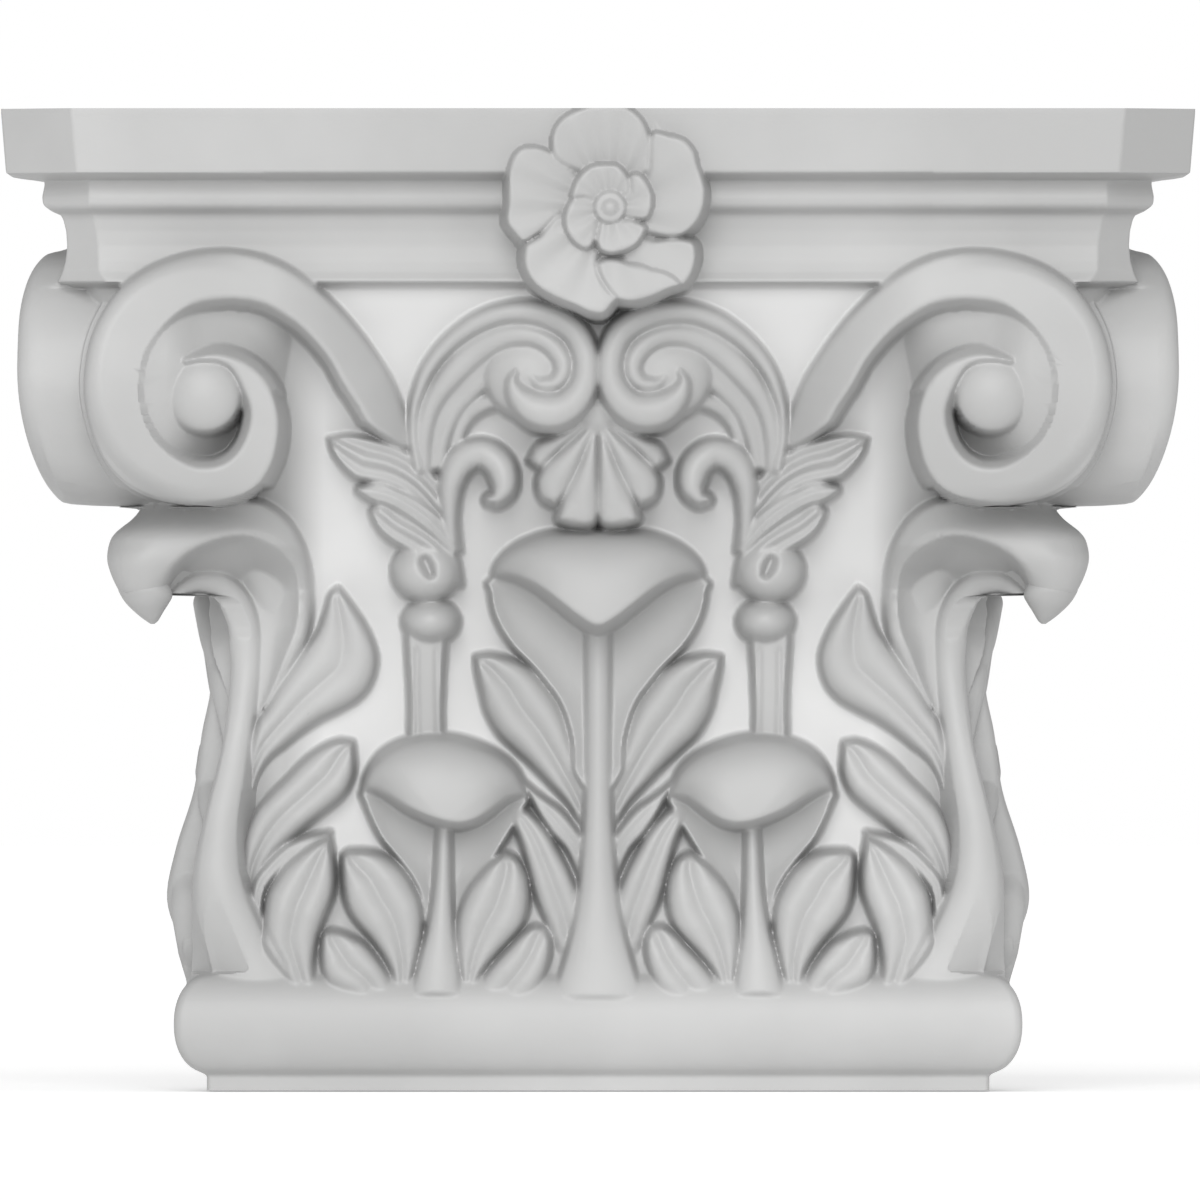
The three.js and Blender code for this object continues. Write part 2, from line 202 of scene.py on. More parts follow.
def walled(mask, surface, foot, outside, wall=WALL):
    """The surface within the mask, and outside it a wall down from the surface's foot."""
    return np.where(mask, surface, np.where(outside < WALL_REACH, foot + wall * outside, NOWHERE))


def leaf(depth, left, right, depths, relief, waves=None, hollow=0.42, edge=7.5):
    """A lobe between two edges, each from root to tip, with a crease along its middle or waves across it."""
    left, right = smooth_line(left), smooth_line(right)
    outline = np.vstack([left, right[::-1]])
    place, x, y = window(outline, WALL_REACH)
    to_left, to_right = distance_to(left, x, y), distance_to(right, x, y)
    across = (to_left - to_right) / (to_left + to_right + 1e-6)
    half = (to_left + to_right) / 2
    root, tip = (left[0] + right[0]) / 2, (left[-1] + right[-1]) / 2
    axis = tip - root
    share = unit(((x - root[0]) * axis[0] + (y - root[1]) * axis[1]) / (axis @ axis))
    front = np.interp(share, np.linspace(0, 1, len(depths)), depths)
    dome = np.sqrt(unit(1 - np.abs(across) ** 3))
    if waves is None:
        crest = np.abs(np.sin(CREASE_WAVE * math.pi * across)) ** CREASE_CUT
    else:
        crest = np.cos(2 * math.pi * waves * across)
    form = dome * (1 - hollow + hollow * crest)
    fullness = unit(half / edge) ** 0.5
    surface = front + relief * (1 - form * fullness)
    outside = np.minimum(to_left, to_right)
    raise_to(depth, place, walled(inside(outline, x, y), surface, front + relief, outside))


def ribbon(depth, stations, relief, form="round"):
    """A strand along a line of [x, y, half width, depth]."""
    line = smooth_line(stations)
    place, x, y = window(line, line[:, 2].max() + WALL_REACH)
    distance, along = nearest(line, x, y)
    half, front = (np.interp(along, np.arange(len(line)), line[:, i]) for i in (2, 3))
    s = distance / half
    if form == "round":
        profile = np.sqrt(unit(1 - s ** 2))
    else:
        profile = quarter_round((1 - s) * half / FLAT_STRAND_EDGE)
    surface = front + relief * (1 - profile)
    raise_to(depth, place, walled(s < 1, surface, front + relief, distance - half))


def plate(depth, outline, front, edge, wall=WALL):
    """A face with a rounded edge. The front is a function of x and y, and the edge and the wall may be."""
    line = smooth_line(outline, closed=True)
    place, x, y = window(line, WALL_REACH)
    distance = distance_round(line, x, y)
    level, edge, wall = front(x, y), value_at(edge, x, y), value_at(wall, x, y)
    surface = level + edge * (1 - quarter_round(distance / edge))
    raise_to(depth, place, walled(inside(line, x, y), surface, level + edge, distance, wall))


def ball(depth, centre, size, front, height, turn=0.0, power=0.5):
    """A rounded boss: an ellipse in outline."""
    box = np.array([np.array(centre) - max(size), np.array(centre) + max(size)])
    place, x, y = window(box, WALL_REACH)
    dx, dy = x - centre[0], y - centre[1]
    u = (dx * math.cos(turn) + dy * math.sin(turn)) / size[0]
    v = (dy * math.cos(turn) - dx * math.sin(turn)) / size[1]
    rho = u * u + v * v
    surface = front + height * (1 - unit(1 - rho) ** power)
    outside = (np.sqrt(rho) - 1) * min(size)
    raise_to(depth, place, walled(rho < 1, surface, front + height, outside))


def sink(depth, stations, drop):
    """A groove along a line of [x, y, half width]."""
    line = smooth_line(stations)
    place, x, y = window(line, 3 * line[:, 2].max())
    distance, along = nearest(line, x, y)
    half = np.interp(along, np.arange(len(line)), line[:, 2])
    depth[place] += drop * np.exp(-((distance / half) ** 2))


# Mouldings and ground: [y, depth] down the sheet

ABACUS = [
    (108, 0), (112, 0), (173, 5), (176, 9), (177, 43), (184, 43.5), (196, 41), (204, 42), (209, 48),
    (212, 58), (218, 62), (230, 65), (245, 66), (260, 64.5), (272, 61), (280, 57), (283, 56), (284, 60),
    (285, 90)]
ABACUS_ARRIS = [(108, 71), (176, 77), (177, 88), (210, 89), (216, 93), (239, 97), (270, 98), (284, 108)]
GROUND = [
    (284, 84), (300, 88), (340, 108), (400, 140), (450, 166), (500, 190), (560, 215), (620, 234),
    (700, 239), (800, 236), (870, 230), (920, 219), (960, 206), (990, 196), (1030, 207), (1093, 216)]
BELL_CORNER = 46.0
TORUS = {"top": 976.0, "foot": 1076.0, "front": 172.0, "back": 205.0, "corner": 9.0, "powers": (2.3, 0.55)}
FOOT_CORNER = 4.0


def corner_rounded(front, radius):
    """A straight face whose plan turns the corner on a quarter circle."""
    within_corner = np.clip(radius - (X - front), 0, radius)
    turn = radius - np.sqrt(np.clip(radius ** 2 - within_corner ** 2, 0, None))
    return front + turn


def mouldings():
    setback = np.interp(Y, *zip(*ABACUS))
    arris = np.interp(Y, *zip(*ABACUS_ARRIS))
    abacus = np.where(Y <= ABACUS[-1][0], setback + np.clip(arris - X, 0, None), NOWHERE)
    bell = smooth_line(GROUND)
    ground = corner_rounded(np.interp(Y, bell[:, 0], bell[:, 1]), BELL_CORNER)
    middle = (TORUS["top"] + TORUS["foot"]) / 2
    half = (TORUS["foot"] - TORUS["top"]) / 2
    rise = np.clip((Y - middle) / half, -1, 1)
    first, second = TORUS["powers"]
    roundness = unit(1 - np.abs(rise) ** first) ** second
    bulge = TORUS["back"] - (TORUS["back"] - TORUS["front"]) * roundness
    torus = np.where(np.abs(Y - middle) < half, corner_rounded(bulge, TORUS["corner"]), NOWHERE)
    flat = np.full_like(Y, TORUS["back"])
    foot = np.where(Y >= TORUS["foot"], corner_rounded(flat, FOOT_CORNER), NOWHERE)
    return np.minimum.reduce([abacus, ground, torus, foot])


# Corner volute

VOLUTE_OUTER = [
    (413, 450), (411, 432), (403, 405), (392, 378), (378, 356), (360, 331), (338, 306), (315, 286),
    (293, 270), (266, 257), (239, 251), (212, 250), (185, 254), (158, 263), (135, 276), (115, 293),
    (100, 315), (90, 338), (84.5, 364), (83, 388), (86.5, 414), (94.5, 441), (108, 467), (130.5, 488),
    (158, 500), (189, 505), (216, 504), (243, 497), (261, 484), (273, 464), (279, 441), (280, 419),
    (275, 396), (264, 376), (248, 362), (232, 355), (216, 352), (198, 355), (184, 361)]
VOLUTE_INNER = [
    (200, 361), (216, 362), (230, 369), (241, 387), (249, 410), (246, 432), (237, 450), (223, 462),
    (207, 466), (189, 464), (171, 455), (155, 439), (145, 419), (140, 396), (141, 374), (146, 353),
    (158, 333), (173, 317), (189, 307), (207, 302), (230, 300), (252, 302), (270, 308), (293, 322),
    (311, 338), (329, 360), (342, 383), (356, 404), (374, 430)]
VOLUTE_DISC = [
    (380, 420), (340, 345), (300, 302), (240, 280), (180, 285), (120, 340), (100, 400), (120, 460),
    (160, 490), (205, 498), (245, 490), (268, 460), (290, 470), (340, 470)]

# The volute's face: its left edge, the depth there and how it leans back. Then, as [start, rate], how it
# bends away towards the bell, below and above, and how its edge rounds off.
VOLUTE_LEFT, VOLUTE_FRONT, VOLUTE_LEAN = 84, 14, 0.1
TURN_IN = (270, 0.0045)
FALL_BELOW = (365, 0.0015)
FALL_ABOVE = (-325, 0.002)
BEVEL = {"ellipse": ((200, 378), (117, 127)), "from": 0.84, "over": 0.16, "depth": 14, "fade": (150, 110)}

# The spiral's floor: its step down from the face, the deep part on the right and the pit by the eye
STEP_LEFT, STEP_MORE, STEP_RISE = 1.6, 7.4, (165, 40)
DEEP = {"slant": 0.9, "level": 380, "rise": (190, 110), "depth": 20}
PIT = {"centre": (240, 432), "radius": 20, "depth": 5}
FAR = {"slant": 0.8, "from": 300, "softness": 40, "rate": 1.2}
FLOOR_EDGE = 3

# The band's arris is sharp beside the eye. Its side slopes towards the eye and is steep elsewhere.
ARRIS_SHARP, ARRIS_MORE, ARRIS_SOFT = 1.2, 5.8, 7
BESIDE_EYE = ((200, 385), (77, 95))
EYE_SLOPE = 2.4
UNDERCUT = 60.0
UNDERCUT_FROM = 485

EYE = {"centre": (203.0, 394.0), "size": (38, 39), "proud": 2, "height": 22}


def volute_face(x, y):
    """The face leans back from the corner, turns in towards the bell, and rounds off all round."""
    lean = VOLUTE_LEAN * (x - VOLUTE_LEFT) + bend(x, *TURN_IN)
    from_centre = in_radii(*BEVEL["ellipse"], x, y)
    towards_edge = np.clip(from_centre - BEVEL["from"], 0, BEVEL["over"]) / BEVEL["over"]
    bevel = BEVEL["depth"] * towards_edge ** 2 * (1 - eased(x, *BEVEL["fade"]))
    return VOLUTE_FRONT + lean + bend(y, *FALL_BELOW) + bend(-y, *FALL_ABOVE) + bevel


def volute_floor(x, y):
    """The spiral's floor: almost level with the face on the left, deep under the band on the upper right."""
    deep = DEEP["depth"] * eased(x - DEEP["slant"] * (y - DEEP["level"]), *DEEP["rise"])
    squared = (x - PIT["centre"][0]) ** 2 + (y - PIT["centre"][1]) ** 2
    pit = PIT["depth"] * np.exp(-squared / PIT["radius"] ** 2)
    step = STEP_LEFT + STEP_MORE * eased(x, *STEP_RISE)
    far = x + FAR["slant"] * (y - FAR["from"]) - FAR["from"]
    return volute_face(x, y) + step + deep + pit + FAR["rate"] * ramp(far, FAR["softness"])


def volute_edge(x, y):
    """The band's arris."""
    beside_eye = in_radii(*BESIDE_EYE, x, y) < 1
    return np.where(beside_eye, ARRIS_SHARP + ARRIS_MORE * eased(x, *STEP_RISE), ARRIS_SOFT)


def volute_wall(x, y):
    """The slope of the band's side."""
    within = inside(smooth_line(VOLUTE_INNER), x, y)
    return np.where(within, EYE_SLOPE, np.where(y > UNDERCUT_FROM, UNDERCUT, WALL))


def volute(depth):
    """The left edge ends the face sharply, then come the floor, the band and the eye."""
    line = smooth_line(VOLUTE_OUTER)
    x, y = line[:, 0], line[:, 1]
    line = line[(x < 210) & (y > 250) & ((x < 160) | (y > 490) | (y < 300))]
    line = line[np.argsort(line[:, 1])]
    edge = np.interp(levels, line[:, 1], line[:, 0], left=NOWHERE, right=NOWHERE)[:, None]
    depth[:] = np.minimum(depth, np.where(X < edge, edge, NOWHERE))
    plate(depth, VOLUTE_DISC, volute_floor, FLOOR_EDGE, UNDERCUT)
    plate(depth, VOLUTE_OUTER + VOLUTE_INNER, volute_face, volute_edge, volute_wall)
    ball(depth, EYE["centre"], EYE["size"], volute_face(*EYE["centre"]) - EYE["proud"], EYE["height"])


# Corner leaf

LIP_SILHOUETTE = smooth_line([
    (490, 146), (504, 140), (511, 137), (520, 129), (531, 115), (541, 108), (557, 105), (572, 108),
    (590, 116), (605, 127), (619, 141), (626, 152)])
LIP_NOSE = [(500, 50), (545, 50), (590, 25)]
LIP_FLANK = 0.0035
LIP_END = 597.0
RIB_BARE = 640.0
TIP_EDGES = [
    (570, 130, 150), (580, 121, 164), (588, 116.5, 169), (596, 119.5, 171), (604, 125, 167),
    (611, 132, 162.5), (617, 139, 159), (621, 144.5, 156.5), (624, 149, 153)]
FOLD = [
    (160, 618), (164, 602), (166, 585), (173, 568), (185, 555), (201, 545), (220, 538), (240, 535),
    (260, 537), (276, 545), (289, 558), (297, 575), (299, 600), (296, 628), (286, 655), (276, 680)]
LIP = [
    (200, 494), (150, 494), (125, 500), (116, 515), (103, 529), (96, 545), (94, 557), (96, 572), (102, 592),
    (114, 616), (146, 632)] + FOLD + [
    (262, 705), (266, 706), (284, 682), (300, 655), (308, 634), (312, 608), (311, 579), (304, 550),
    (293, 528), (280, 513), (262, 502), (242, 498)]
LIP_FOLD = FOLD + [(262, 710)]
LIP_HOLLOW = LIP_FOLD + [
    (248, 730), (238, 700), (236, 650), (226, 620), (215, 603), (200, 598), (187, 600), (176, 606)]
HOLLOW_FLOOR = 236.0
FLOOR_SOFT = 12
FOLD_SHARP, FOLD_SOFTER, TOWARDS_BELL = 7, 22, (235, 50)
DROP_ABOVE, DROP_MORE, DOWN_THE_LIP = 45, 55, (535, 60)
CORNER_RIB = [
    (258, 998, 42, 188), (256, 987, 41, 188), (243, 957, 35, 190), (232, 930, 32, 190), (220, 895, 27, 190),
    (217, 860, 23.5, 193), (220, 820, 21, 202), (228, 781, 20, 212), (235, 742, 17.5, 221),
    (241, 703, 16, 226), (245, 664, 16.5, 229), (243, 630, 16.5, 225), (234, 604, 15.5, 215),
    (221, 589, 14.5, 203), (208, 583, 13, 192), (194, 583, 11, 180), (182, 588, 9, 168), (172, 596, 7, 158)]
RIB_INNER = [(597, 211), (604, 217), (626, 225), (662, 229), (725, 229)]
RIB_CHANNEL = [(284, 968, 3), (263, 930, 3), (245, 885, 3), (241, 830, 3), (247, 775, 3), (255, 720, 3)]

# The nose rounds off towards the tip below CLOSES, and the lip falls back below FALLS.
CLOSES = {"below": (556, 34), "past_nose": 6, "share": 0.8}
FALLS = {"from": 640, "softness": 20, "rate": 0.75}
FAR_ABOVE = -150.0


def lip_front(x, y):
    """In plan the lip has a round nose on the diagonal, and flanks that fall back."""
    edge = np.interp(y, LIP_SILHOUETTE[:, 0], LIP_SILHOUETTE[:, 1])
    nose = np.interp(y, *zip(*LIP_NOSE))
    middle = edge + nose
    from_middle = np.clip(np.abs(middle - x), 0, nose)
    circle = middle - np.sqrt(nose ** 2 - from_middle ** 2)
    flank = edge + bend(x, middle, LIP_FLANK)
    closing = eased(y, *CLOSES["below"]) * (x < middle + nose + CLOSES["past_nose"])
    beyond = flank + closing * np.minimum(circle - edge, CLOSES["share"] * nose)
    soft = FALLS["softness"]
    fall = FALLS["rate"] * (ramp(y - FALLS["from"], soft) - ramp(FAR_ABOVE, soft))
    return np.where(x < middle, circle, beyond) + fall


def lip_hollow(depth):
    """The lip's underside: it falls away sharply behind the fold and softly behind the rim on the bell."""
    fold = smooth_line(LIP_FOLD)
    outline = smooth_line(LIP_HOLLOW, closed=True)
    place, x, y = window(outline, 2)
    softness = FOLD_SHARP + FOLD_SOFTER * eased(x, *TOWARDS_BELL)
    drop = DROP_ABOVE + DROP_MORE * eased(y, *DOWN_THE_LIP)
    surface = lip_front(x, y) + drop * (1 - np.exp(-distance_to(fold, x, y) / softness))
    surface = HOLLOW_FLOOR - (ramp(HOLLOW_FLOOR - surface, FLOOR_SOFT) - ramp(FAR_ABOVE, FLOOR_SOFT))
    raise_to(depth, place, np.where(inside(outline, x, y), surface, NOWHERE))


def corner_leaf(depth):
    """Hollow, rib and lip. What the lip would put outside the rib below its end is left open."""
    open_corner = depth.copy()
    lip_hollow(depth)
    ribbon(depth, CORNER_RIB, relief=16)
    plate(depth, LIP, lip_front, edge=7)
    outside_rib = (Y > LIP_END) & (Y < RIB_BARE) & (X < np.interp(Y, *zip(*RIB_INNER)))
    depth[:] = np.where(outside_rib, open_corner, depth)
    sink(depth, RIB_CHANNEL, drop=4)


# Lobes: left edge, right edge, depths from root to tip, relief

LOBES = [
    # beside the corner leaf
    ([(238, 800), (241, 770), (246, 745), (255, 724), (265, 709), (277, 689), (292, 667), (306, 647),
      (317, 630), (323, 612), (328, 594), (337, 586)],
     [(252, 800), (257, 780), (268, 762), (284, 748), (301, 734), (319, 722), (336, 713), (356, 701),
      (369, 686), (375, 667), (374, 649), (365, 627), (352, 606), (337, 586)], (236, 220, 208, 200, 188), 18),
    ([(240, 905), (238, 875), (243, 842), (254, 815), (268, 797), (286, 779), (302, 762), (320, 748),
      (337, 741), (352, 742)],
     [(256, 905), (260, 878), (274, 857), (291, 840), (308, 825), (325, 812), (340, 799), (349, 786),
      (354, 768), (352, 742)],
     (222, 206, 195, 191, 196), 18),
    ([(252, 925), (250, 903), (254, 882), (265, 866), (284, 848), (306, 838), (330, 833)],
     [(262, 930), (261, 905), (266, 889), (280, 872), (296, 856), (314, 846), (330, 833)],
     (204, 198, 196, 196), 9),
    ([(292, 997), (282, 978), (269, 961), (262, 946), (263, 933), (265, 916), (268, 897), (275, 883),
      (285, 868), (298, 856), (313, 846), (328, 839)],
     [(318, 997), (313, 970), (315, 945), (319, 929), (324, 916), (331, 897), (333, 880), (332, 862),
      (328, 839)],
     (186, 174, 167, 168, 174), 19),
    ([(394, 997), (389, 972), (374, 946), (355, 923), (346, 907), (342, 885), (341, 859), (348, 852)],
     [(408, 997), (412, 982), (417, 961), (421, 933), (420, 910), (415, 895), (404, 876), (390, 862),
      (372, 853), (348, 852)],
     (186, 176, 169, 168, 176), 19),
    ([(352, 998), (336, 990), (326, 982), (321, 968), (320, 950), (322, 936), (330, 932)],
     [(402, 998), (392, 985), (384, 972), (373, 957), (363, 946), (352, 939), (341, 934), (330, 932)],
     (180, 172, 170, 176), 17),
    # beside the lower leaf
    ([(463, 997), (457, 962), (456, 944), (457, 924), (461, 908), (468, 892), (478, 878), (490, 865),
      (505, 854)],
     [(472, 994), (482, 975), (496, 957), (510, 942), (522, 926), (527, 908), (527, 888), (523, 872),
      (516, 860), (505, 854)],
     (186, 176, 169, 168, 176), 19),
    ([(466, 1000), (482, 980), (496, 963), (510, 948), (521, 936), (533, 928), (544, 929)],
     [(528, 1000), (538, 988), (546, 971), (550, 956), (550, 941), (544, 929)],
     (180, 172, 170, 176), 17),
    # beside the central leaf
    ([(584, 850), (570, 812), (548, 786), (529, 766), (512, 750), (497, 735), (485, 713), (480, 692),
      (476, 673), (474, 656)],
     [(590, 800), (582, 768), (574, 741), (567, 720), (556, 700), (544, 684), (533, 672), (518, 662),
      (504, 657), (490, 654), (474, 656)], (212, 204, 200, 196, 190), 21),
    ([(578, 880), (566, 852), (552, 836), (540, 818), (531, 800), (522, 785), (512, 770)],
     [(590, 848), (575, 828), (560, 811), (546, 801), (533, 791), (522, 781), (512, 770)],
     (206, 196, 192, 194), 9),
    ([(566, 990), (556, 955), (545, 925), (536, 902), (528, 872), (521, 846), (514, 826), (512, 812)],
     [(586, 930), (580, 900), (568, 872), (557, 852), (548, 836), (537, 822), (525, 812), (512, 812)],
     (204, 196, 190, 188, 192), 13),
]

# The stalk's shaft, flutes and notch, and the bud's lobes
SHAFT = [(425, 640, 21, 196), (425, 700, 18, 202), (425, 750, 19, 206)]
FLUTES = [[(x, 650, 2.2), (x, 690, 2.2), (x + 1, 735, 2.2)] for x in (416, 436)]
NOTCH = [(424, 560, 5), (427, 567, 6), (430, 574, 4)]
BUD = [
    ([(455, 552), (449, 536), (432, 518), (417, 503), (402, 491), (385, 484), (368, 481), (355, 478),
      (343, 468), (332, 453), (327, 437)],
     [(462, 552), (459, 525), (454, 508), (445, 489), (432, 472), (419, 460), (402, 448), (385, 441),
      (364, 436), (345, 434), (327, 437)], (178, 158, 142, 130, 124), 16),
    ([(452, 556), (438, 540), (420, 525), (402, 512), (385, 504), (370, 500), (356, 491)],
     [(460, 550), (449, 532), (439, 517), (420, 502), (400, 491), (379, 483), (356, 487)],
     (172, 152, 140, 136), 9),
    ([(452, 588), (441, 572), (428, 561), (411, 552), (394, 543), (381, 533), (373, 521), (370, 510),
      (376, 503)],
     [(462, 585), (459, 563), (452, 548), (440, 533), (424, 520), (406, 510), (390, 503), (376, 503)],
     (182, 166, 154, 146), 13),
]

CAP_CENTRE = {
    "top": [(491, 577), (495, 564), (506, 551), (522, 540), (544, 532), (570, 529), (598, 528), (626, 529)],
    "lip": [(491, 577), (504, 577), (518, 579), (538, 588), (556, 601), (578, 618), (598, 628), (618, 618)],
    "body": [(491, 578), (489, 592), (492, 610), (500, 629), (513, 648), (531, 666), (546, 684), (559, 702),
             (567, 722), (572, 745), (575, 775), (598, 790), (640, 700), (690, 600), (640, 560), (560, 560)],
    "stem": [(598, 610, 13, 190), (598, 700, 13, 190), (598, 800, 14, 188), (598, 860, 17, 185),
             (598, 910, 22, 181), (598, 950, 31, 177), (598, 992, 43, 172), (598, 1003, 44, 171)],
}
CAP_LOWER = {
    "top": [(362, 791), (365, 779), (373, 764), (386, 751), (405, 742), (427, 738), (448, 738), (470, 743),
            (491, 752), (508, 764), (519, 778), (526, 797)],
    "lip": [(362, 791), (375, 793), (390, 800), (405, 809), (422, 817), (439, 823), (456, 826), (470, 824),
            (483, 818), (496, 809), (508, 801), (526, 797)],
    "body": [(362, 791), (364, 805), (371, 823), (381, 842), (396, 860), (411, 880), (420, 900), (424, 925),
             (440, 945), (462, 925), (478, 885), (500, 850), (520, 815), (526, 797), (490, 775), (440, 765),
             (395, 772)],
    "stem": [(444, 812, 7, 186), (443, 850, 8, 184), (442, 890, 10, 182), (440, 930, 14, 178),
             (438, 960, 19, 174), (436, 1000, 26, 170)],
}


def capped_leaf(depth, shape, front, ground, full):
    """A leaf whose head bends forward: a drooping cap over a hollow body with a ribbed stem."""
    body = smooth_line(shape["body"], closed=True)
    place, x, y = window(body, WALL_REACH)
    rim = distance_round(body, x, y)
    proud, arris, hollow = 12, 7, 18
    sunk = hollow * (1 - np.exp(-rim / 16))
    surface = ground - proud + sunk + arris * (1 - quarter_round(rim / 4))
    raise_to(depth, place, walled(inside(body, x, y), surface, ground - proud + arris, rim))
    ribbon(depth, shape["stem"], relief=14)
    top, lip = smooth_line(shape["top"]), smooth_line(shape["lip"])
    outline = np.vstack([top, lip[::-1]])
    place, x, y = window(outline, WALL_REACH)
    to_top, to_lip = distance_to(top, x, y), distance_to(lip, x, y)
    thick = 1 - np.exp(-((to_top + to_lip) / full) ** 1.3)
    swell = quarter_round(to_top / (to_top + 0.55 * to_lip + 1e-6)) * thick
    within = inside(outline, x, y)
    base = ground - 14
    rounding = arris * (1 - quarter_round(np.where(within, to_lip, 0) / 6))
    surface = base - (base - front) * swell + rounding
    raise_to(depth, place, walled(within, surface, surface, np.minimum(to_top, to_lip)))


def stalk(depth):
    """A fluted shaft, a bead, the calyx with its notch, and the bud."""
    ribbon(depth, SHAFT, relief=22, form="flat")
    for flute in FLUTES:
        sink(depth, flute, drop=4)
    ball(depth, (430, 621), size=(29, 23), front=172, height=40)
    ball(depth, (425, 570), size=(35, 32), front=158, height=44, power=0.4)
    sink(depth, NOTCH, drop=16)
    for lobe in BUD:
        leaf(depth, *lobe, waves=1.15, hollow=0.3)


# Helices and small curl: strands of [x, y, half width, depth], relief. Palmette: lobes as above.

HELIX_STRANDS = [
    ([(455, 452, 7, 150), (460, 428, 8, 138), (470, 412, 9, 126), (486, 402, 9, 114), (506, 400, 7, 104)],
     12),
    ([(438, 462, 8, 148), (444, 432, 9, 134), (454, 408, 10, 122), (470, 390, 10, 110), (489, 376, 9, 98),
      (506, 368, 7, 90), (520, 363, 6, 84), (535, 364, 7, 80), (545, 371, 5, 80)], 12),
    ([(432, 462, 9, 150), (437, 430, 11, 136), (447, 402, 14, 122), (463, 380, 16, 108), (485, 362, 16, 96),
      (510, 352, 13, 88), (533, 352, 10, 84)], 10),
    ([(424, 465, 8, 146), (423, 440, 9, 132), (427, 415, 10, 120), (437, 393, 11, 108), (453, 372, 13, 96),
      (473, 352, 14, 86), (494, 339, 13, 77), (516, 333, 12, 70), (538, 336, 11, 66), (556, 348, 11, 64),
      (564, 366, 10, 63), (557, 381, 9, 64), (542, 384, 8, 67), (531, 377, 5, 72)], 13),
    ([(418, 468, 6, 142), (413, 440, 6, 130), (413, 412, 6, 118), (418, 391, 7, 106), (426, 371, 8, 96),
      (440, 351, 9, 86), (458, 334, 10, 77), (480, 320, 11, 69), (504, 312, 11, 62), (530, 311, 12, 57),
      (556, 318, 13, 54), (576, 333, 13, 52), (586, 358, 13, 52), (584, 383, 14, 53), (571, 403, 16, 54),
      (552, 411, 18, 56), (533, 407, 17, 58), (518, 395, 12, 62), (512, 381, 7, 66), (516, 371, 3, 70)], 16),
    ([(452, 545, 7, 172), (449, 510, 10, 152), (451, 482, 13, 138), (462, 460, 15, 128),
      (482, 452, 15, 120), (499, 464, 15, 116), (504, 484, 13, 116), (497, 497, 9, 120), (489, 499, 5, 124)],
     20),
]
PALMETTE = [
    ([(592, 414), (575, 424), (552, 436), (536, 444), (527, 460)],
     [(592, 422), (574, 438), (556, 453), (541, 468), (527, 460)], (98, 104, 112, 124), 14),
    ([(595, 416), (584, 428), (562, 449), (545, 466), (537, 480), (540, 497), (556, 507)],
     [(598, 425), (590, 440), (580, 463), (570, 486), (556, 507)], (96, 104, 112, 124), 15),
    ([(596, 418), (590, 435), (580, 463), (568, 488), (560, 507), (558, 520), (572, 526)],
     [(598, 418), (598, 440), (598, 480), (598, 515), (590, 526), (572, 526)], (95, 104, 112, 122), 15),
]


def scrollwork(depth):
    """The helices' backing, the palmette and its knot, and the strands over them."""
    ball(depth, (534, 374), size=(50, 46), front=74, height=30)
    for lobe in PALMETTE:
        leaf(depth, *lobe, waves=0.5, hollow=0.1)
    ball(depth, (598, 410), size=(24, 26), front=92, height=30)
    for strand in HELIX_STRANDS:
        ribbon(depth, *strand)


# Rosette: petals of [outline, rim depth, fall to the heart, number of creases], drawn across the whole width

HEART_X, HEART_Y = 610.0, 207.0
ROSETTE_REACH = 112.0
ROSETTE_FOOT = 325.0
ROSETTE_PETALS = [
    ([(556, 160), (551, 146), (553, 130), (562, 117), (577, 109), (595, 105), (615, 104), (630, 108),
      (641, 117), (648, 130), (651, 145), (650, 160), (646, 174), (610, 178), (575, 170)], -14, 20, 16),
    ([(652, 133), (668, 134), (685, 139), (695, 151), (698, 163), (702, 175), (706, 190), (705, 205),
      (700, 218), (692, 228), (681, 235), (668, 236), (655, 234), (640, 225), (640, 190), (646, 176),
      (649, 160)], -15, 20, 9),
    ([(655, 240), (670, 238), (685, 239), (694, 243), (697, 255), (694, 270), (688, 281), (681, 285),
      (655, 275), (625, 262), (625, 245), (640, 236)], -10, 18, 8),
    ([(598, 262), (612, 258), (628, 262), (642, 264), (652, 268), (664, 271), (675, 277), (681, 285),
      (668, 290), (655, 296), (640, 301), (628, 302), (617, 299), (606, 286), (599, 273)], -16, 16, 10),
    ([(524, 248), (527, 243), (540, 235), (548, 225), (560, 215), (580, 225), (597, 250), (597, 262),
      (600, 275), (608, 288), (617, 297), (612, 305), (603, 314), (590, 313), (575, 306), (555, 298),
      (538, 288), (528, 276), (523, 262)], -14, 18, 13),
    ([(508, 170), (513, 155), (522, 147), (535, 146), (548, 150), (560, 160), (572, 170), (585, 190),
      (575, 208), (560, 214), (548, 226), (538, 234), (524, 242), (516, 236), (506, 222), (507, 205),
      (507, 190)], -13, 20, 17),
    ([(571, 197), (575, 182), (582, 172), (592, 165), (604, 163), (616, 164), (624, 170), (629, 180),
      (629, 194), (614, 202), (600, 202), (585, 198)], -23, 13, 12),
    ([(630, 175), (640, 174), (648, 183), (653, 197), (652, 210), (646, 219), (634, 219), (618, 214),
      (616, 205), (622, 196), (629, 190)], -22, 13, 9),
    ([(601, 219), (612, 218), (624, 218), (636, 221), (646, 227), (642, 238), (634, 247), (623, 252),
      (610, 254), (600, 250), (596, 240), (598, 230)], -23, 13, 7),
    ([(572, 199), (583, 197), (597, 199), (602, 208), (600, 218), (598, 228), (595, 240), (591, 247),
      (584, 249), (574, 243), (566, 232), (564, 220), (566, 208)], -22, 13, 10),
]
CREASE_DEPTH, PETAL_ARRIS, PETAL_FOOT = 1.5, 7, 8
ROSETTE_BACK = {"centre": (604, 205), "size": (86, 84), "front": -2, "height": 40}
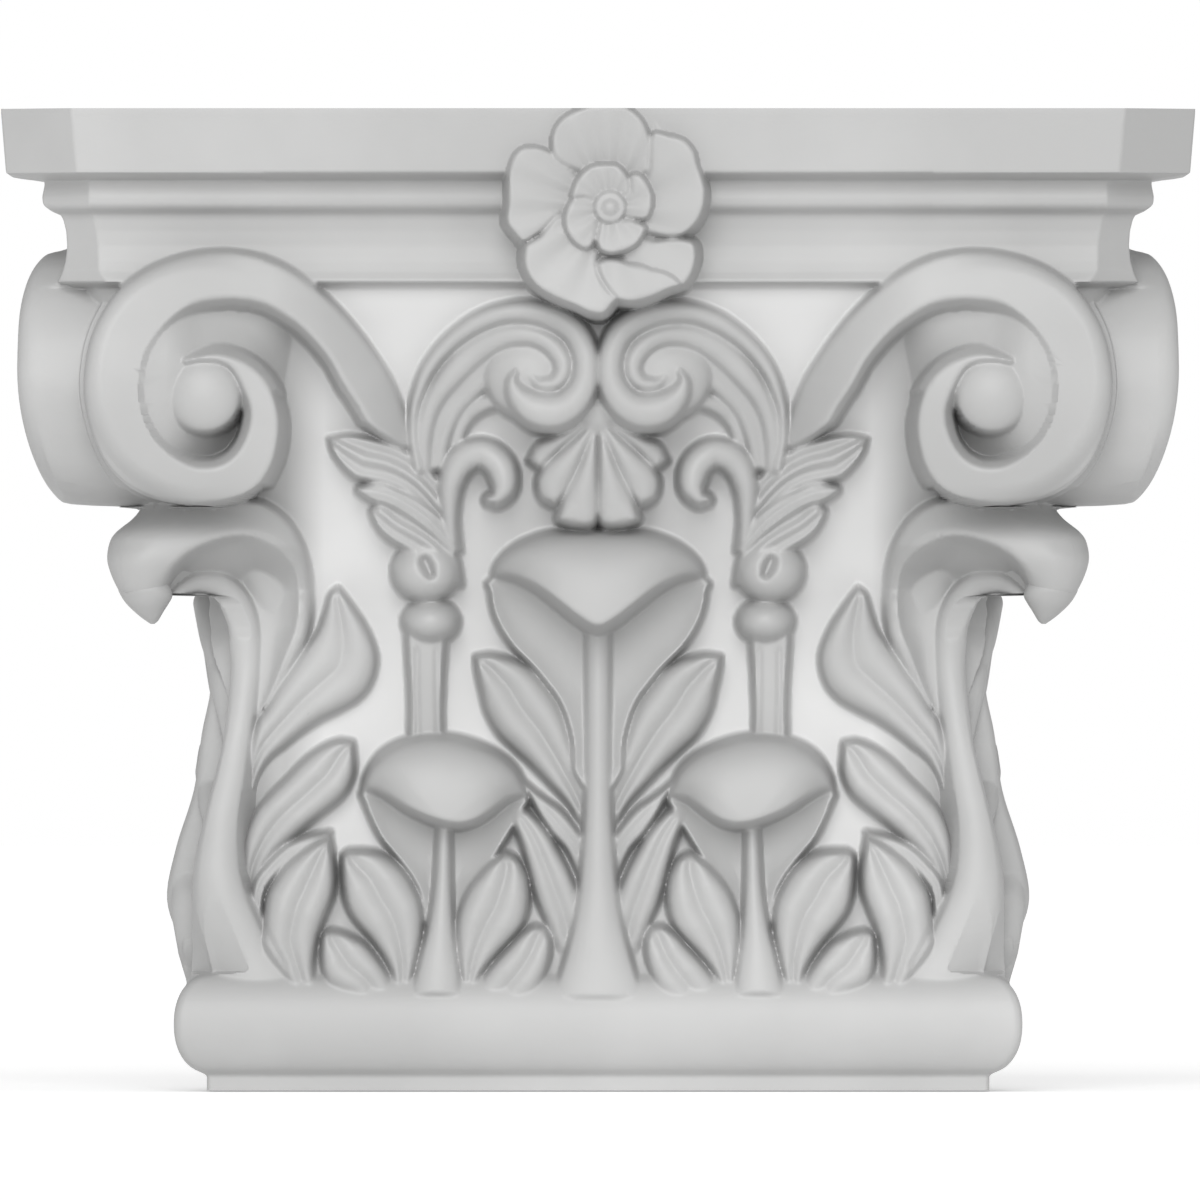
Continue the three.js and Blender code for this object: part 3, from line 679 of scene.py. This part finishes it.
ROSETTE_BUTTON = {"ring": 14, "ring_front": -22, "radius": 9.5, "front": -27, "height": 9}


def petal(x, y, outline, rim, fall, creases):
    """Highest at the rim, it falls towards the heart, with soft creases that run inwards."""
    line = smooth_line(outline, closed=True)
    to_rim = distance_round(line, x, y)
    dx, dy = x - HEART_X, y - HEART_Y
    away = np.hypot(dx, dy)
    reach = np.hypot(line[:, 0] - HEART_X, line[:, 1] - HEART_Y).max()
    inwards = unit(1 - away / reach)
    wave = np.cos(creases * np.arctan2(dy, dx) + creases)
    ripple = CREASE_DEPTH * wave * unit(to_rim / PETAL_FOOT) * (0.35 + inwards)
    arris = PETAL_ARRIS * (1 - quarter_round(to_rim / 5))
    surface = rim + fall * inwards ** 1.4 + ripple + arris
    return walled(inside(line, x, y), surface, rim + PETAL_FOOT, to_rim)


def rosette(x, y):
    """The backing disc, the petals, the ring in their midst and the button."""
    back, button = ROSETTE_BACK, ROSETTE_BUTTON
    u, v = (x - back["centre"][0]) / back["size"][0], (y - back["centre"][1]) / back["size"][1]
    rho = u ** 2 + v ** 2
    disc = back["front"] + back["height"] * (1 - unit(1 - rho) ** 0.35)
    sheet = np.where(rho < 1, disc, NOWHERE)
    for shape in ROSETTE_PETALS:
        sheet = np.minimum(sheet, petal(x, y, *shape))
    away = np.hypot(x - HEART_X, y - HEART_Y)
    ring = button["ring_front"] + 0.06 * (away - 11) ** 2
    sheet = np.where(away < button["ring"] + 2, np.minimum(sheet, ring), sheet)
    swell = np.sqrt(unit(1 - (away / button["radius"]) ** 2))
    dome = button["front"] + button["height"] * (1 - swell)
    return np.where(away < button["radius"], np.minimum(sheet, dome), sheet)


# The side has the first of the lobes, and a wavy rim that makes the edge seen from the front.
SIDE_LOBES = 4
BACKED_FROM_X = 185
SIDE_RIM = [
    (332, 604, 15, 190), (322, 640, 15, 197), (308, 683, 15, 208), (302, 735, 15, 199), (300, 792, 16, 191),
    (298, 850, 17, 173), (299, 901, 18, 164), (302, 940, 16, 178), (306, 973, 12, 206)]


def build_front():
    plain = mouldings()
    depth = plain.copy()
    for lobe in LOBES:
        leaf(depth, *lobe)
    corner_leaf(depth)
    capped_leaf(depth, CAP_LOWER, front=134.0, ground=206.0, full=34.0)
    stalk(depth)
    scrollwork(depth)
    capped_leaf(depth, CAP_CENTRE, front=104.0, ground=204.0, full=40.0)
    volute(depth)
    return above_torus(depth, plain)


def build_side():
    """The side repeats the corner up to the wall. Below the lip its rib has a slanted back."""
    plain = mouldings()
    depth = plain.copy()
    for lobe in LOBES[:SIDE_LOBES]:
        leaf(depth, *lobe)
    ribbon(depth, SIDE_RIM, relief=12)
    corner_leaf(depth)
    volute(depth)
    rib = smooth_line(CORNER_RIB)
    rib = rib[rib[:, 1] > RIB_BARE][::-1]
    middle, half, front = (np.interp(Y, rib[:, 1], rib[:, i]) for i in (0, 2, 3))
    edge = middle - half
    behind_rib = edge + half * unit((edge - X) / np.clip(edge - front, 1, None))
    backed = (Y > RIB_BARE) & (X > BACKED_FROM_X) & (X < edge + 1)
    depth[:] = np.where(backed, np.minimum(depth, behind_rib), depth)
    return above_torus(depth, plain)


def above_torus(depth, plain):
    """The foliage ends at the crease over the torus, a little higher at the corner."""
    from_corner, crease = (200, CENTRE), (991, 999)
    return np.where(Y < np.interp(X, from_corner, crease), depth, plain)


SOFTENING = 0.25
OPEN_BRINK = 250.0


def softened(depth, rounds=2):
    """Take the sharpness off the cuts, as a coat of primer does. A brink over OPEN_BRINK stays as it is."""
    for _ in range(rounds):
        for axis in (0, 1):
            ahead = np.roll(depth, -1, axis)
            behind = np.roll(depth, 1, axis)
            kept = (np.abs(ahead - depth) > OPEN_BRINK) | (np.abs(behind - depth) > OPEN_BRINK)
            np.moveaxis(kept, axis, 0)[[0, -1]] = True
            mixed = (1 - 2 * SOFTENING) * depth + SOFTENING * (ahead + behind)
            depth = np.where(kept, depth, mixed)
    return depth


# From the sheets to a closed skin

# Rays from the pivot find the corner. The lip's levels are read off the sheet instead, at least a WEB thick.
PIVOT = 262.0
FOREMOST = -30.0
FAN_RADIUS = 250.0
HALVINGS = 8
LIP_TOP = 505.6
LIP_FADE = 80.0
LIP_FROM = 80.0
LIP_READ_STEP = 0.5
LIP_SPLIT = 232.0
SPLIT_SHARES = (0.35, 0.45)
WEB = 2.0

BASE_FROM = 1002.0
BASE_THINNING = 8
TRIANGLE_BUDGET = 195000
ARRIS_ANGLE = 42.0


def sample(sheet, places):
    """Depths at places along x: one row of places for all levels, or one place for each level."""
    low = np.clip(np.floor(places).astype(int), 0, sheet.shape[1] - 2)
    part = unit(places - low)
    if low.shape == (sheet.shape[0],):
        row = np.arange(sheet.shape[0])
        return sheet[row, low] * (1 - part) + sheet[row, low + 1] * part
    return sheet[:, low] * (1 - part) + sheet[:, low + 1] * part


def within_solid(front, side, x, d):
    """How far places of the plan lie behind both sheets."""
    return np.minimum(d - sample(front, x), x - sample(side, np.clip(d, 0, None)))


def fan_columns(front, side, count):
    """From the pivot's line to the diagonal, where each ray from the pivot leaves the solid."""
    radii = np.arange(PIVOT * math.sqrt(2), 0, -1.0)
    corner = np.zeros((len(levels), count, 2))
    for i, angle in enumerate(np.linspace(0, math.pi / 4, count)):
        sin, cos = math.sin(angle), math.cos(angle)
        x, d = PIVOT - radii * sin, PIVOT - radii * cos
        real = (x >= 0) & (d >= FOREMOST)
        x, d, r = x[real], d[real], radii[real]
        solid = within_solid(front, side, x, d) >= 0
        first = np.clip(np.argmax(solid, axis=1), 1, None)
        inner, outer = r[first], r[first - 1]
        for _ in range(HALVINGS):
            middle = (inner + outer) / 2
            solid = within_solid(front, side, PIVOT - middle * sin, PIVOT - middle * cos) >= 0
            inner, outer = np.where(solid, middle, inner), np.where(solid, outer, middle)
        corner[:, i, 0] = PIVOT - inner * sin
        corner[:, i, 1] = PIVOT - inner * cos
    return corner


def read_columns(front, row):
    """The same stretch read straight off the sheet, for a level where the lip hides what lies behind it."""
    xs = np.arange(LIP_FROM, PIVOT + LIP_READ_STEP / 2, LIP_READ_STEP)
    depth = sample(front, xs)[row]
    first = int(np.argmax(depth <= xs))
    xs, depth = xs[first:], depth[first:]
    depth[1:] = np.minimum(depth[1:], xs[1:] - WEB)
    depth[0] = xs[0]
    return np.stack([xs[::-1], depth[::-1]], -1)


def spaced(line, count, share):
    """Places along a line, even in each of two stretches, with a share of them before the split."""
    travelled = np.concatenate([[0], np.cumsum(np.hypot(*np.diff(line, axis=0).T))])
    split_x = max(LIP_SPLIT, line[-1, 0] + 5)
    split = travelled[int(np.argmax(line[:, 0] < split_x))]
    before = round(share * count)
    near = np.linspace(0, split, before, endpoint=False)
    stops = np.r_[near, np.linspace(split, travelled[-1], count - before)]
    return np.stack([np.interp(stops, travelled, line[:, i]) for i in (0, 1)], -1)


def ring_columns(front, side):
    """Plan places [x, depth] round the left corner for every level: the side's, then the fan's."""
    back = np.arange(SHEET_BACK, PIVOT, -STEP)
    flank = np.stack([sample(side, back), np.broadcast_to(back, (len(levels), len(back)))], -1)
    corner = fan_columns(front, side, int(math.pi / 4 * FAN_RADIUS / STEP) + 1)
    at_lip, more_below = SPLIT_SHARES
    for row in np.flatnonzero((levels > LIP_TOP) & (levels < LIP_END + LIP_FADE)):
        line = read_columns(front, row) if levels[row] < LIP_END else corner[row]
        share = at_lip + more_below * ease((levels[row] - LIP_END) / LIP_FADE)
        corner[row] = spaced(line, corner.shape[1], share)
    other = corner[:, :, ::-1]
    fan = np.concatenate([other[:, 1:], corner[:, -2::-1]], axis=1)
    return flank, fan


def front_columns(half):
    """The whole front between the two pivots: the half sheet twice, with the rosette on it."""
    xs = np.linspace(PIVOT, 2 * CENTRE - PIVOT, int((2 * CENTRE - 2 * PIVOT) / STEP) + 1)
    from_left = np.where(xs <= CENTRE, xs, 2 * CENTRE - xs)
    depth = sample(half, from_left)
    gx, gy = np.meshgrid(xs, levels)
    place = np.ix_(levels < ROSETTE_FOOT, np.abs(xs - HEART_X) < ROSETTE_REACH)
    raise_to(depth, place, rosette(gx[place], gy[place]))
    return np.stack([gx, softened(depth, rounds=1)], -1)


def skin(front, side):
    """The skin's points by level and column, and the few columns that are enough for the plain base."""
    flank, fan = ring_columns(front, side)
    face = front_columns(front)
    left = np.concatenate([flank, fan], axis=1)
    right = left[:, ::-1].copy()
    right[:, :, 0] = 2 * CENTRE - right[:, :, 0]
    plan = np.concatenate([left, face[:, 1:-1], right], axis=1)
    points = np.zeros(plan.shape[:2] + (3,))
    points[:, :, 0] = (plan[:, :, 0] - CENTRE) * UNIT
    points[:, :, 1] = FRONT_Y + np.clip(plan[:, :, 1], FOREMOST, None) * (BACK_Y - FRONT_Y) / SHEET_BACK
    points[:, :, 2] = np.interp(levels, SHEET_LEVELS, HEIGHTS)[:, None]
    points[:, [0, -1], 1] = BACK_Y
    count, last = points.shape[1], left.shape[1] - 1
    corner = [*range(0, flank.shape[1], BASE_THINNING), *range(flank.shape[1], last, 2), last]
    middle = range(last + BASE_THINNING, count - 1 - last - BASE_THINNING // 2, BASE_THINNING)
    plain_columns = [*corner, *middle, *(count - 1 - i for i in reversed(corner))]
    return points, plain_columns


def mesh_from(points, name):
    """A closed mesh: the skin's quads, and one face each on the top, the bottom and the back."""
    rows, cols = points.shape[:2]
    index = np.arange(rows * cols).reshape(rows, cols)
    quads = np.stack([index[:-1, :-1], index[1:, :-1], index[1:, 1:], index[:-1, 1:]], -1).reshape(-1, 4)
    back = np.concatenate([index[:, 0][::-1], index[:, -1]])
    loops = np.concatenate([quads.ravel(), index[0], index[-1, ::-1], back])
    counts = np.concatenate([np.full(len(quads), 4), [cols, cols, len(back)]])
    mesh = bpy.data.meshes.new(name)
    mesh.vertices.add(rows * cols)
    mesh.vertices.foreach_set("co", points.reshape(-1).astype(np.float32))
    mesh.loops.add(len(loops))
    mesh.loops.foreach_set("vertex_index", loops.astype(np.int32))
    mesh.polygons.add(len(counts))
    mesh.polygons.foreach_set("loop_start", np.concatenate([[0], np.cumsum(counts)[:-1]]).astype(np.int32))
    mesh.update(calc_edges=True)
    mesh.validate()
    return mesh


def evaluated(piece):
    """Put a piece's modifiers into its mesh."""
    view = bpy.context.evaluated_depsgraph_get()
    mesh = bpy.data.meshes.new_from_object(piece.evaluated_get(view))
    piece.modifiers.clear()
    piece.data = mesh
    mesh.name = piece.name
    return mesh


def linked(name, data):
    piece = bpy.data.objects.new(name, data)
    bpy.context.scene.collection.objects.link(piece)
    return piece


def shaded(piece):
    """Smooth normals, with the faces' areas as weights and the arrises sharp."""
    piece.data.shade_smooth()
    piece.data.set_sharp_from_angle(angle=math.radians(ARRIS_ANGLE))
    level = piece.modifiers.new("level", "WEIGHTED_NORMAL")
    level.keep_sharp = True
    evaluated(piece)
    return piece


def keep_in_box(mesh):
    """Bring back what the thinning has pushed past the capital's box."""
    places = np.empty(3 * len(mesh.vertices), np.float32)
    mesh.vertices.foreach_get("co", places)
    mesh.vertices.foreach_set("co", np.clip(places.reshape(-1, 3), cad_low, cad_high).ravel())


def capital():
    """The carving, and below it the plain torus and foot."""
    points, plain_columns = skin(softened(build_front()), softened(build_side()))
    joint = int(np.searchsorted(levels, BASE_FROM))
    carving = linked("capital_carving", mesh_from(points[:joint + 1], "carving"))
    thin = carving.modifiers.new("thin", "DECIMATE")
    thin.ratio = TRIANGLE_BUDGET / (2 * len(carving.data.polygons))
    thin.use_collapse_triangulate = True
    keep_in_box(evaluated(carving))
    base = linked("capital_base", mesh_from(points[joint:][:, plain_columns], "base"))
    return [shaded(carving), shaded(base)]


def height_of(y):
    return float(np.interp(y, SHEET_LEVELS, HEIGHTS))


def place_of(x, depth, y):
    """A sheet place in metres."""
    return ((x - CENTRE) * UNIT, FRONT_Y + depth * (BACK_Y - FRONT_Y) / SHEET_BACK, height_of(y))


def leaf_tips():
    """The drooping ends of the corner leaves: round in plan, they hang from the lips on the diagonals."""
    sides = 28
    rings = smooth_line(TIP_EDGES, per_span=4)
    left = []
    for y, outer, inner in rings:
        middle, radius = (outer + inner) / 2, (inner - outer) / 2
        for i in range(sides):
            turn = 2 * math.pi * i / sides
            left.append(place_of(middle + radius * math.cos(turn), middle + radius * math.sin(turn), y))
    faces = []
    for start in range(0, len(left) - sides, sides):
        for i in range(sides):
            a, b = start + i, start + (i + 1) % sides
            faces.append((a, b, b + sides, a + sides))
    top, bottom = range(sides), range(len(left) - sides, len(left))
    faces += [tuple(reversed(top)), tuple(bottom)]
    points = left + [(-x, y, z) for x, y, z in left]
    faces += [tuple(len(left) + i for i in reversed(face)) for face in faces]
    mesh = bpy.data.meshes.new("leaf_tips")
    mesh.from_pydata(points, [], faces)
    mesh.shade_smooth()
    return linked("leaf_tips", mesh)


# Painted light: the colour is painted lighter on the bell's ground, standing in for the light in the hollows,
# and fades again a little ahead of it, near the foot, under the abacus and on the flanks. Lengths in metres.
PAINTED_LIGHT_FADE = 0.005
PAINTED_LIGHT_MOST = 0.30
PAINTED_LIGHT_FOOT = (0.03, 0.06)
PAINTED_LIGHT_TOP = (0.003, 0.001)
PAINTED_LIGHT_FLANK = (0.074, 0.084)
# The tone ramp's ends. The random clouds and the painted light on the bell's ground both move the colour
# towards PRIMER_LIGHT.
PRIMER_DARK = (0.322, 0.322, 0.32, 1)
PRIMER_LIGHT = (0.72, 0.72, 0.718, 1)


def result_of(tree, operation, first, second=0.0):
    """The outcome of a sum on numbers or outputs."""
    node = tree.nodes.new("ShaderNodeMath")
    node.operation = operation
    for socket, value in zip(node.inputs, (first, second)):
        if isinstance(value, (int, float)):
            socket.default_value = value
        else:
            tree.links.new(value, socket)
    return node.outputs["Value"]


def preset(node, values):
    for name, value in values.items():
        node.inputs[name].default_value = value


def ranged(tree, value, low, high, at_low=0.0, at_high=1.0):
    """A value's place between two limits, carried over to two others."""
    node = tree.nodes.new("ShaderNodeMapRange")
    tree.links.new(value, node.inputs["Value"])
    preset(node, {"From Min": low, "From Max": high, "To Min": at_low, "To Max": at_high})
    return node.outputs["Result"]


def primer():
    """A satin coat of white primer: faint clouds and grain, and painted light that makes it whiter on the
    bell's ground.
    """
    material = bpy.data.materials.new("primed_foam")
    material.use_nodes = True
    tree = material.node_tree
    nodes, links = tree.nodes, tree.links
    shader = nodes["Principled BSDF"]
    preset(shader, {"Roughness": 0.5, "Specular IOR Level": 0.4})
    place = nodes.new("ShaderNodeTexCoord").outputs["Object"]
    parts = nodes.new("ShaderNodeSeparateXYZ")
    links.new(place, parts.inputs["Vector"])
    from_front = result_of(tree, "SUBTRACT", parts.outputs["Y"], FRONT_Y)
    from_side = result_of(tree, "SUBTRACT", cad_high[0], result_of(tree, "ABSOLUTE", parts.outputs["X"]))
    bell = nodes.new("ShaderNodeValToRGB")
    stops = bell.color_ramp.elements
    for y, depth in reversed(GROUND[:-2]):
        stop = stops.new(height_of(y) / HEIGHTS[0])
        stop.color = (depth / SHEET_BACK,) * 3 + (1,)
    stops.remove(stops[0])
    stops.remove(stops[-1])
    height = parts.outputs["Z"]
    links.new(result_of(tree, "DIVIDE", height, HEIGHTS[0]), bell.inputs["Fac"])
    ground = result_of(tree, "MULTIPLY", bell.outputs["Color"], BACK_Y - FRONT_Y)
    behind = result_of(tree, "SUBTRACT", result_of(tree, "MINIMUM", from_front, from_side), ground)
    # Painted light: thick is how much lighter the colour is painted on the bell's ground. It fades ahead of
    # the ground, near the foot, under the abacus and on the flanks.
    thick = PAINTED_LIGHT_MOST
    limits = (
        (behind, -PAINTED_LIGHT_FADE, 0.0), (behind, 2 * PAINTED_LIGHT_FADE, PAINTED_LIGHT_FADE), (height, *PAINTED_LIGHT_FOOT),
        (height, HEIGHTS[1] + PAINTED_LIGHT_TOP[0], HEIGHTS[1] + PAINTED_LIGHT_TOP[1]), (from_side, *PAINTED_LIGHT_FLANK))
    for value, none, full in limits:
        thick = result_of(tree, "MULTIPLY", ranged(tree, value, none, full), thick)
    cloud = nodes.new("ShaderNodeTexNoise")
    preset(cloud, {"Scale": 11.0, "Detail": 4.0})
    tone = nodes.new("ShaderNodeValToRGB")
    for stop, position, colour in zip(tone.color_ramp.elements, (0.15, 0.85), (PRIMER_DARK, PRIMER_LIGHT)):
        stop.position = position
        stop.color = colour
    mottle = result_of(tree, "MULTIPLY", cloud.outputs["Fac"], 0.35)
    grain = nodes.new("ShaderNodeTexNoise")
    preset(grain, {"Scale": 700.0})
    bump = nodes.new("ShaderNodeBump")
    preset(bump, {"Strength": 0.08, "Distance": 0.0002})
    links.new(place, cloud.inputs["Vector"])
    links.new(place, grain.inputs["Vector"])
    # The colour: random clouds, plus the painted light on the bell's ground.
    links.new(result_of(tree, "ADD", mottle, thick), tone.inputs["Fac"])
    links.new(tone.outputs["Color"], shader.inputs["Base Color"])
    links.new(grain.outputs["Fac"], bump.inputs["Height"])
    links.new(bump.outputs["Normal"], shader.inputs["Normal"])
    return material


def floor():
    """A large pale floor, a hair below the capital's underside."""
    reach, gap = 12.0, 0.0004
    mesh = bpy.data.meshes.new("floor")
    corners = [(-reach, -reach, 0), (reach, -reach, 0), (reach, reach, 0), (-reach, reach, 0)]
    mesh.from_pydata(corners, [], [(0, 1, 2, 3)])
    obj = linked("floor", mesh)
    paint = bpy.data.materials.new("floor_paint")
    paint.use_nodes = True
    preset(paint.node_tree.nodes["Principled BSDF"], {
        "Base Color": (0.97, 0.97, 0.97, 1), "Roughness": 0.9,
        "Emission Color": (1, 1, 1, 1), "Emission Strength": 0.26})
    obj.data.materials.append(paint)
    obj.location.z = -gap


def sun(name, direction, strength, spread):
    """Parallel light that comes from a direction."""
    light = bpy.data.lights.new(name, "SUN")
    light.energy = strength
    light.angle = math.radians(spread)
    obj = linked(name, light)
    obj.rotation_euler = (-Vector(direction)).to_track_quat("-Z", "Y").to_euler()


def studio():
    """A pale room, white at the horizon and brighter ahead, and one soft light from in front."""
    world = bpy.data.worlds.new("studio")
    bpy.context.scene.world = world
    world.use_nodes = True
    tree = world.node_tree
    parts = tree.nodes.new("ShaderNodeSeparateXYZ")
    tree.links.new(tree.nodes.new("ShaderNodeTexCoord").outputs["Generated"], parts.inputs["Vector"])
    height = result_of(tree, "ABSOLUTE", parts.outputs["Z"])
    horizon = ranged(tree, height, 0.08, 0.16, 1.0, 0.0)
    ahead = ranged(tree, parts.outputs["Y"], -1.0, 0.3, 0.95, 0.4)
    backdrop = tree.nodes["Background"]
    tree.links.new(result_of(tree, "MAXIMUM", horizon, ahead), backdrop.inputs["Color"])
    preset(backdrop, {"Strength": 1.0})
    sun("key", direction=(-0.05, -0.94, 0.33), strength=2.4, spread=36)
    bpy.context.scene.view_settings.view_transform = "Standard"


def camera():
    """Level and straight ahead, from afar, with the picture's side as wide as the photo shows."""
    distance, sensor, picture_side, shift = 12.0, 36.0, 1200.0, 0.0005
    data = bpy.data.cameras.new("camera")
    data.sensor_width = sensor
    data.lens = sensor * distance / (picture_side * UNIT)
    data.clip_end = 100
    obj = linked("camera", data)
    obj.location = (shift, FRONT_Y - distance, height_of(picture_side / 2))
    obj.rotation_euler = (math.radians(90), 0, 0)
    bpy.context.scene.camera = obj


coat = primer()
for piece in capital() + [leaf_tips()]:
    piece.data.materials.append(coat)
    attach(piece, "root")
    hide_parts("capital")
floor()
studio()
camera()
